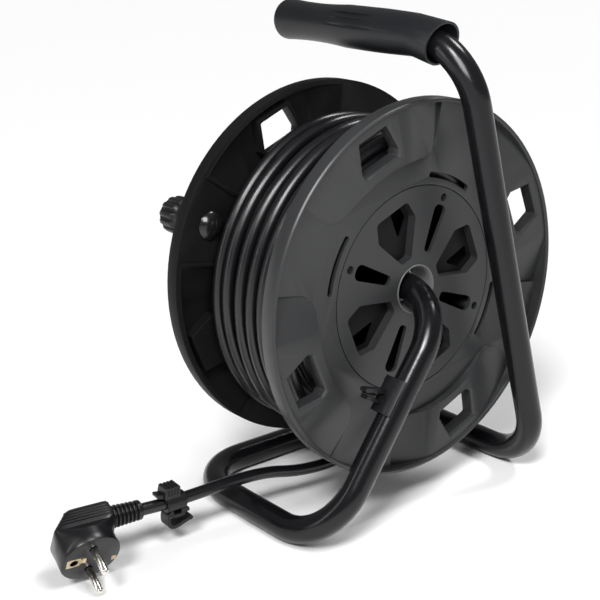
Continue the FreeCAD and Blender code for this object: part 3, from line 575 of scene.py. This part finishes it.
def discCarving(look):
    face, under = look["face"], look["face"] - look["wall"]
    floor = face - look["panDepth"]
    below = floor - look["panWall"]
    flip = np.array([-1.0, 1.0])
    vent = roundedOutline(bothSides(look["vent"]) * flip, look["ventCorners"])
    pocket = roundedOutline(np.array(look["pocket"]) * flip, look["pocketCorner"])
    ray = roundedOutline(bothSides(look["ray"]) * flip, look["rayCorners"])
    pan = prismMesh(widened(vent, look["ventMiddle"], look["panWall"]), below, under + lap)
    hole = prismMesh(vent, floor, face + past)
    opening = prismMesh(pocket, below - past, floor + lap)
    mirrored = prismMesh((pocket * np.array([1, -1]))[::-1], below - past, floor + lap)
    slit = prismMesh(ray, under - past, face + past)
    screwOutline = diskOutline(-look["screwRing"], 0, look["screwHole"], look["holeSides"])
    screwHole = prismMesh(screwOutline, under - past, face + past)
    panels, rays = look["panels"], look["rays"]
    openings = [aboutDrum(opening, a) for a in panels[:2]] + [aboutDrum(mirrored, a) for a in panels[2:]]
    slits = [aboutDrum(slit, a) for a in rays] + [aboutDrum(screwHole, a) for a in rays]
    return carved(discBody(look), [
        ("UNION", joined([aboutDrum(pan, a) for a in panels])),
        ("DIFFERENCE", joined([aboutDrum(hole, a) for a in panels])),
        ("DIFFERENCE", joined(openings)),
        ("DIFFERENCE", joined(slits)),
    ])


def makeBackDisc(look):
    carving = discCarving(look)
    disc = newPiece("vented_disc", carving, "drum_plastic", "drum", ("back_disc",), edge=0.5, segments=3,
                    origin=drumPlace)
    # Painted shade: faces that lie below the disc's own face get the darker moulding, which stands in for the
    # drum's shade
    disc.data.materials.append(paintedShadeMoulding)
    heights = np.array([carving[0][polygon.vertices][:, 1].max() for polygon in disc.data.polygons])
    inShade = heights < look["face"] - look["shadedBelow"]
    disc.data.polygons.foreach_set("material_index", inShade.astype(np.int32))


def makeSunkScrews(look):
    under = look["face"] - look["wall"]
    head = turnedMesh([(radius, under + height) for radius, height in look["screwHead"]], 24)
    turns = np.radians(look["rays"])
    places = look["screwRing"] * np.stack([-np.cos(turns), 0 * turns, np.sin(turns)], axis=-1)
    heads = [(head[0] + place, head[1]) for place in places]
    # The screw heads get the darker moulding as painted shade in their holes
    newPiece("sunk_screws", joined(heads), "steel", "drum", ("disc_screws",), origin=drumPlace,
             material=paintedShadeMoulding)


makeBackDisc(backDisc)
makeSunkScrews(backDisc)


# Bush with a funnel where the bent tube enters the drum

bush = {
    "profile": [(9.15, 18.0), (15.4, 18.0), (15.4, 47.5), (16.4, 47.5), (16.4, 48.1), (16.0, 48.4),
                (15.5, 48.2), (14.2, 43.5), (12.4, 35.0), (9.15, 35.0)],
}


def makeBush(look):
    newPiece("funnel_bush", turnedMesh(look["profile"]), "bush_plastic", "drum", ("rear_bush",),
             origin=drumPlace)


makeBush(bush)
print("disc and bush made")


# The front flange's lower left panel is closed

closedPanel = {
    "window": [(91.0, 15.5), (97.4, 18.6), (118.3, 13.8)], "corner": 3.0,
    "angle": 202.5, "low": -44.6, "high": -42.9,
}


def makeClosedPanel(look):
    outline = roundedOutline(bothSides(look["window"]) * np.array([-1.0, 1.0]), look["corner"])
    plate = aboutDrum(prismMesh(outline, look["low"], look["high"]), look["angle"])
    # The panel gets the darker moulding as painted shade, like the rest of the front flange
    newPiece("closed_panel", plate, "drum_plastic", "drum", edge=0.3, origin=drumPlace,
             material=paintedShadeMoulding)


makeClosedPanel(closedPanel)


# Winding knob: a turned profile whose wide part has twelve hollows

knob = {
    "profile": [(4.2, -49.5), (9.6, -49.5), (10.2, -51.5), (10.4, -60.0), (10.4, -69.0), (11.2, -70.6),
                (12.6, -71.6), (13.0, -73.2), (13.0, -75.5), (13.0, -78.0), (13.0, -80.5), (12.8, -83.0),
                (12.3, -85.0), (11.0, -86.0), (10.05, -86.0), (10.05, -84.0), (7.6, -84.0), (7.6, -79.7),
                (4.2, -79.7)],
    "hollows": 12, "hollow": 2.0, "stem": 11.0, "slope": 1.2, "sides": 192,
}


def makeKnob(look):
    # Taken off = hollow x how far the radius is past the stem's x (half + half cos 12 a) cubed
    def hollows(radius, angle):
        wide = np.clip((radius - look["stem"]) / look["slope"], 0, 1)
        return look["hollow"] * wide * (0.5 + 0.5 * np.cos(angle * look["hollows"])) ** 3
    newPiece("fluted_knob", turnedMesh(look["profile"], look["sides"], hollows), "knob_plastic", "knob",
             ("winding_knob",), origin=(knobCentre[0] / mm, drumMiddle, knobCentre[2] / mm))


makeKnob(knob)


# Clip on the down leg: a block that hugs the tube and two prongs that hold the plug's pins

legClip = {
    "legTop": (0.0, 80.5, 151.0), "legWay": (101.5, 0.0, -142.0), "along": 72.0,
    "length": 24.0, "tube": 9.0,
    "section": [(7.2, -5.2), (9.1, -6.6), (10.6, -3.8), (11.2, -0.5), (11.2, 8.3), (10.8, 9.2), (10.0, 9.5),
                (-9.4, 9.5), (-10.3, 9.2), (-10.6, 8.3), (-10.6, 2.0), (0.0, 0.0)],
    "step": [(-12.0, 6.0), (-6.5, 6.0), (-6.5, 20.0), (-12.0, 20.0)], "stepLength": 5.5,
    "prongs": [{"start": (-4.0, 4.0), "end": (4.0, 28.0), "wall": 2.8},
               {"start": (5.0, 6.0), "end": (7.6, 24.6), "wall": 2.4}],
    "prongLow": 3.0, "prongHigh": 8.7, "prongCorner": 0.45,
}


def prongMesh(prong, look):
    start, end = np.array(prong["start"]), np.array(prong["end"])
    way = (end - start) / np.linalg.norm(end - start)
    side = np.array([-way[1], way[0]]) * prong["wall"] / 2
    corners = [start - side, end - side, end + side, start + side]
    outline = roundedOutline(corners, prong["wall"] * look["prongCorner"])
    return prismMesh(outline, look["prongLow"], look["prongHigh"], axes=(0, 1, 2))


def makeLegClip(look):
    half = look["length"] / 2
    along = np.array(look["legWay"]) / np.linalg.norm(look["legWay"])
    across = np.array([-along[2], 0, along[0]])
    body = prismMesh(look["section"], -half, half, axes=(1, 2, 0))
    bore = prismMesh(diskOutline(0, 0, look["tube"], 48), -half - past, half + past, axes=(1, 2, 0))
    step = prismMesh(look["step"], -half - past, look["stepLength"] - half, axes=(1, 2, 0))
    carving = carved(body, [("DIFFERENCE", bore), ("DIFFERENCE", step)])
    prongs = [prongMesh(prong, look) for prong in look["prongs"]]
    place = np.array(look["legTop"]) + along * look["along"]
    newPiece("leg_clip", joined([carving] + prongs), "dark_plastic", "stand", ("leg_bracket",), edge=0.5,
             segments=3, origin=place, ways=squareWays(along, across))


makeLegClip(legClip)
print("knob and leg clip made")


# Plug, in its own frame: X towards the cable, Y along the pins' row, Z out of the pins' face
# A section is its level, its two ends along X, its half width along Y and how square it is

plug = {
    "face": (229.0, 13.7, 20.0),
    "cableWay": (-0.99, 0.11, -0.02),
    "rowWay": (0.04, 0.45, 0.89),
    "sections": [
        (0.0, -18.2, 18.2, 18.2, 2.0), (-0.25, -18.8, 18.8, 18.8, 2.0), (-0.9, -19.15, 19.15, 19.15, 2.0),
        (-5.0, -19.1, 19.1, 19.1, 2.0), (-10.0, -19.0, 19.0, 19.0, 2.0), (-17.8, -17.7, 22.6, 11.3, 7.0),
    ],
    "backSections": [(-30.6, -5.8, 22.7, 10.9, 8.0), (-31.2, -4.8, 21.8, 9.9, 7.0)],
    "ribTop": -19.6, "ribEnd": -29.2, "ribCount": 5, "ribDepth": 0.6, "ribSquare": 9.0,
    "half": 11.3, "tail": 23.0,
    "nose": [(-17.6, -18.0), (-17.0, -20.0), (-6.4, -30.4)],
    "bar": [(-4.0, -3.4), (17.5, -3.4), (17.5, 3.4), (-4.0, 3.4)], "barCorner": 1.4,
    "barTop": -34.6, "barFoot": -29.7,
    "earthPlace": -11.0, "earthHole": 2.6, "earthDepth": 15.0,
    "pinPlace": 9.5, "pinHole": 2.75, "pinDepth": 1.2,
    "plate": [(-4.8, -3.6), (4.0, -3.6), (4.0, -1.9), (8.0, -1.9), (8.0, 1.9), (4.0, 1.9), (4.0, 3.6),
              (-4.8, 3.6)],
    "plateCorner": 0.6, "plateLow": -1.5, "plateHigh": 0.12,
    "spring": [(14.0, -6.8), (17.0, -6.8), (17.0, -3.0), (14.0, -3.0)],
    "springCorner": 0.5, "springHigh": 0.2,
}
plugWays = squareWays(plug["cableWay"], plug["rowWay"])
upright = (0, 1, 2)


# Sections of a rounded box: x = middle + half cos a to the power 2/n, and y likewise with sin a
def plugSections(look, count=96):
    rows = list(look["sections"])
    nose = np.array(look["nose"])
    levels = np.linspace(look["ribTop"], look["ribEnd"], look["ribCount"] * 4 + 1)
    for k, level in enumerate(levels):
        front = float(np.interp(-level, -nose[:, 1], nose[:, 0]))
        half = look["half"] - (look["ribDepth"] if k % 4 in (2, 3) else 0)
        rows.append((level, front, look["tail"], half, look["ribSquare"]))
    rows = np.array(rows + look["backSections"])
    angle = np.linspace(0, 2 * math.pi, count, endpoint=False)[None, :]
    power = 2 / rows[:, 4:5]
    cosine, sine = np.cos(angle), np.sin(angle)
    middle, reach = (rows[:, 1:2] + rows[:, 2:3]) / 2, (rows[:, 2:3] - rows[:, 1:2]) / 2
    x = middle + reach * np.sign(cosine) * np.abs(cosine) ** power
    y = rows[:, 3:4] * np.sign(sine) * np.abs(sine) ** power
    z = np.repeat(rows[:, 0:1], count, axis=1)
    return np.stack([x, y, z], axis=-1).reshape(-1, 3), ringFaces(len(rows), count)


def makePlugBody(look):
    outline = roundedOutline(look["bar"], look["barCorner"])
    bar = prismMesh(outline, look["barTop"], look["barFoot"], axes=upright)
    outline = diskOutline(look["earthPlace"], 0, look["earthHole"])
    pit = prismMesh(outline, -look["earthDepth"], past, axes=upright)
    pinHoles = [prismMesh(diskOutline(0, place, look["pinHole"]), -look["pinDepth"], past, axes=upright)
                for place in (-look["pinPlace"], look["pinPlace"])]
    carving = carved(plugSections(look), [("UNION", bar), ("DIFFERENCE", joined([pit] + pinHoles))])
    newPiece("plug_moulding", carving, "plug_plastic", "stand", ("plug_body",), edge=0.35,
             origin=look["face"], ways=plugWays)


def makeEarthPlates(look):
    corners = np.array(look["plate"]) + np.array([look["earthPlace"], 0])
    outline = roundedOutline(corners, look["plateCorner"])
    plate = prismMesh(outline, look["plateLow"], look["plateHigh"], axes=upright)
    outline = diskOutline(look["earthPlace"], 0, look["earthHole"])
    hole = prismMesh(outline, look["plateLow"] - past, past, axes=upright)
    outline = roundedOutline(look["spring"], look["springCorner"])
    spring = prismMesh(outline, look["plateLow"], look["springHigh"], axes=upright)
    newPiece("earth_plates", joined([carved(plate, [("DIFFERENCE", hole)]), spring]), "brass", "stand",
             ("plug_earth_contacts",), edge=0.12, origin=look["face"], ways=plugWays)


# Boot: its radius falls slowly and dips between its rings

boot = {
    "start": 23.0, "end": 43.9, "rows": 140, "hole": 3.9, "level": -25.0,
    "taper": [(23.0, 7.3), (41.0, 6.4), (43.3, 6.3), (43.9, 5.6)],
    "firstRing": 24.6, "pitch": 2.75, "dip": 1.5, "ringed": (23.5, 41.0), "fade": 0.4,
}


def makeBoot(look):
    x = np.linspace(look["start"], look["end"], look["rows"])
    wave = 0.5 + 0.5 * np.cos((x - look["firstRing"]) / look["pitch"] * 2 * math.pi)
    first, last = look["ringed"]
    ringed = np.clip((last - x) / look["fade"], 0, 1) * np.clip((x - first) / look["fade"], 0, 1)
    places, radii = np.array(look["taper"]).T
    radius = np.interp(x, places, radii) - look["dip"] * ringed * (1 - wave) ** 2
    profile = [(look["hole"], look["start"])] + list(zip(radius, x)) + [(look["hole"], look["end"])]
    points, faces = turnedMesh(profile, 64)
    points = points[:, [1, 0, 2]] + np.array([0, 0, look["level"]])
    newPiece("ringed_boot", (points, faces), "plug_plastic", "stand", ("plug_boot",), origin=plug["face"],
             ways=plugWays)


makePlugBody(plug)
makeEarthPlates(plug)
makeBoot(boot)
print("plug made")


# Clip on the cord: a sleeve, a ribbed grip above it and an open hook below

cordClip = {
    "centre": (158.9, -1.1, 29.5), "way": (0.996, -0.089, -0.021),
    "sleeve": [(3.9, -7.0), (5.5, -7.0), (6.2, -6.3), (6.2, 6.3), (5.5, 7.0), (3.9, 7.0)],
    "grip": [(-2.6, 4.6), (8.6, 4.6), (8.6, 8.0), (7.4, 12.4), (-2.6, 12.4)],
    "gripCorner": 0.8, "gripWidth": 5.0,
    "grooves": (-1.0, 1.1, 3.2, 5.3), "groove": (0.8, 7.0, 11.2), "grooveFloor": 4.5,
    "notches": (-0.4, 2.0, 4.4), "notch": (0.9, 11.9, 13.5),
    "tab": [(8.0, 5.2), (13.0, 6.6), (13.0, 9.0), (8.0, 8.2)], "tabWidth": 3.6,
    "foot": [(-8.8, -7.4), (-3.0, -7.8), (-3.0, -4.4), (-8.8, -5.0)], "footWidth": 4.5, "corner": 0.7,
    "hook": [(3.0, -5.2), (5.6, -6.6), (6.4, -9.0), (6.4, -12.5), (5.6, -14.8), (3.4, -15.9), (0.5, -15.7),
             (-9.4, -12.6)],
    "jaw": [(5.4, -7.2), (2.0, -8.3), (-2.0, -8.6), (-5.4, -8.0)],
    "wall": 2.3, "width": 4.6, "bead": 1.6,
}


# A box that starts at x; size is its width along X, its bottom and its top
def slotMesh(x, size, low, high):
    width, bottom, top = size
    return prismMesh([(x, bottom), (x + width, bottom), (x + width, top), (x, top)], low, high)


def makeCordClip(look):
    points, faces = turnedMesh(look["sleeve"], 64)
    sleeve = (points[:, [1, 0, 2]], faces)
    side, beyond = look["gripWidth"], look["gripWidth"] + past
    grip = prismMesh(roundedOutline(look["grip"], look["gripCorner"]), -side, side)
    grooves = [slotMesh(x, look["groove"], look["grooveFloor"], beyond) for x in look["grooves"]]
    notches = [slotMesh(x, look["notch"], -beyond, beyond) for x in look["notches"]]
    grip = carved(grip, [("DIFFERENCE", joined(grooves + notches))])
    tab = prismMesh(roundedOutline(look["tab"], look["corner"]), -look["tabWidth"], look["tabWidth"])
    foot = prismMesh(roundedOutline(look["foot"], look["corner"]), -look["footWidth"], look["footWidth"])
    hook = stripMesh(look["hook"], look["wall"], look["width"])
    jaw = stripMesh(look["jaw"], look["wall"], look["width"])
    bead = prismMesh(diskOutline(*look["hook"][-1], look["bead"], 20), -look["width"], look["width"])
    newPiece("clip_on_cord", joined([sleeve, grip, tab, foot, hook, jaw, bead]), "dark_plastic", "stand",
             ("cord_clip",), edge=0.3, origin=look["centre"],
             ways=squareWays(look["way"], np.cross((0, 0, 1.0), look["way"])))


makeCordClip(cordClip)
print("cord clip made")


# Free cord from the drum to the plug

leadCord = {
    "diameter": 0.008,
    "route": [
        (-0.0689, -0.0002, 0.0673), (-0.0408, 0.0006, 0.0440), (-0.0080, 0.0016, 0.0250),
        (0.0250, 0.0024, 0.0180), (0.0580, 0.0020, 0.0205), (0.0860, 0.0016, 0.0285),
        (0.1170, 0.0012, 0.0305), (0.1420, 0.0004, 0.0299), (0.1700, -0.0021, 0.0293),
        (0.1946, -0.0049, 0.0307),
    ],
    "steps": 12,
    "roundness": 8,
}


# Length of a curve's line, measured on a copy without its thickness
def curveLength(curve):
    thin = curve.copy()
    thin.bevel_depth = 0
    ghost = bpy.data.objects.new("line", thin)
    line = bpy.data.meshes.new_from_object(ghost)
    points = np.array([v.co for v in line.vertices])
    bpy.data.objects.remove(ghost)
    return float(np.linalg.norm(np.diff(points, axis=0), axis=1).sum())


def makeLeadCord(look):
    curve = bpy.data.curves.new("lead_flex", "CURVE")
    curve.dimensions = "3D"
    spline = curve.splines.new("NURBS")
    spline.points.add(len(look["route"]) - 1)
    for point, place in zip(spline.points, look["route"]):
        point.co = (*place, 1)
    spline.order_u = 3
    spline.use_endpoint_u = True
    curve.resolution_u = look["steps"]
    curve.bevel_depth = look["diameter"] / 2
    curve.bevel_resolution = look["roundness"]
    curve.use_fill_caps = True
    curve.materials.append(finish["cord_sheath"])
    flex = bpy.data.objects.new("lead_flex", curve)
    bpy.context.scene.collection.objects.link(flex)
    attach(flex, "stand")
    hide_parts("lead_cord")
    length = curveLength(curve)
    print("lead cord", round(length, 4), "m")


makeLeadCord(leadCord)


# Light and floor

studio = {
    "floorColour": (0.95, 0.95, 0.95),
    "floorRough": 0.9,
    "floorReach": 30.0,
    "worldLevel": 0.2,
    "suns": [
        {"name": "key", "from": (0.72, 0.5, 0.85), "strength": 2.1, "spread": 14.0},
        {"name": "fill", "from": (-0.75, 0.2, 1.15), "strength": 1.5, "spread": 16.0},
    ],
    "panels": [
        {"name": "near", "place": (0.2, 0.26, 0.42), "aim": (0.07, 0.05, 0.235),
         "size": (0.16, 0.16), "power": 1.3},
        {"name": "strip", "place": (0.75, -0.15, 0.45), "aim": (0.05, 0.0, 0.15),
         "size": (0.06, 0.7), "power": 1.0},
    ],
}


def addLamp(name, data, towards):
    light = bpy.data.objects.new(name, data)
    light.rotation_mode = "QUATERNION"
    light.rotation_quaternion = Vector(towards).to_track_quat("-Z", "Y")
    bpy.context.scene.collection.objects.link(light)
    return light


def makeLights(look):
    world = bpy.data.worlds.new("studio")
    world.use_nodes = True
    background = world.node_tree.nodes["Background"]
    background.inputs[0].default_value = (1, 1, 1, 1)
    background.inputs[1].default_value = look["worldLevel"]
    bpy.context.scene.world = world
    for lamp in look["suns"]:
        data = bpy.data.lights.new(lamp["name"], "SUN")
        data.energy = lamp["strength"]
        data.angle = math.radians(lamp["spread"])
        addLamp(lamp["name"], data, -Vector(lamp["from"]))
    for lamp in look["panels"]:
        data = bpy.data.lights.new(lamp["name"], "AREA")
        data.shape = "RECTANGLE"
        data.size, data.size_y = lamp["size"]
        data.energy = lamp["power"]
        light = addLamp(lamp["name"], data, Vector(lamp["aim"]) - Vector(lamp["place"]))
        light.location = lamp["place"]


def makeFloor(look):
    paint = Paint("floor")
    paint.set(Base_Color=(*look["floorColour"], 1), Roughness=look["floorRough"])
    reach = look["floorReach"]
    mesh = bpy.data.meshes.new("floor")
    mesh.from_pydata([(-reach, -reach, 0), (reach, -reach, 0), (reach, reach, 0), (-reach, reach, 0)], [],
                     [(0, 1, 2, 3)])
    mesh.materials.append(paint.material)
    floor = bpy.data.objects.new("floor", mesh)
    bpy.context.scene.collection.objects.link(floor)


makeLights(studio)
makeFloor(studio)
print("studio made")
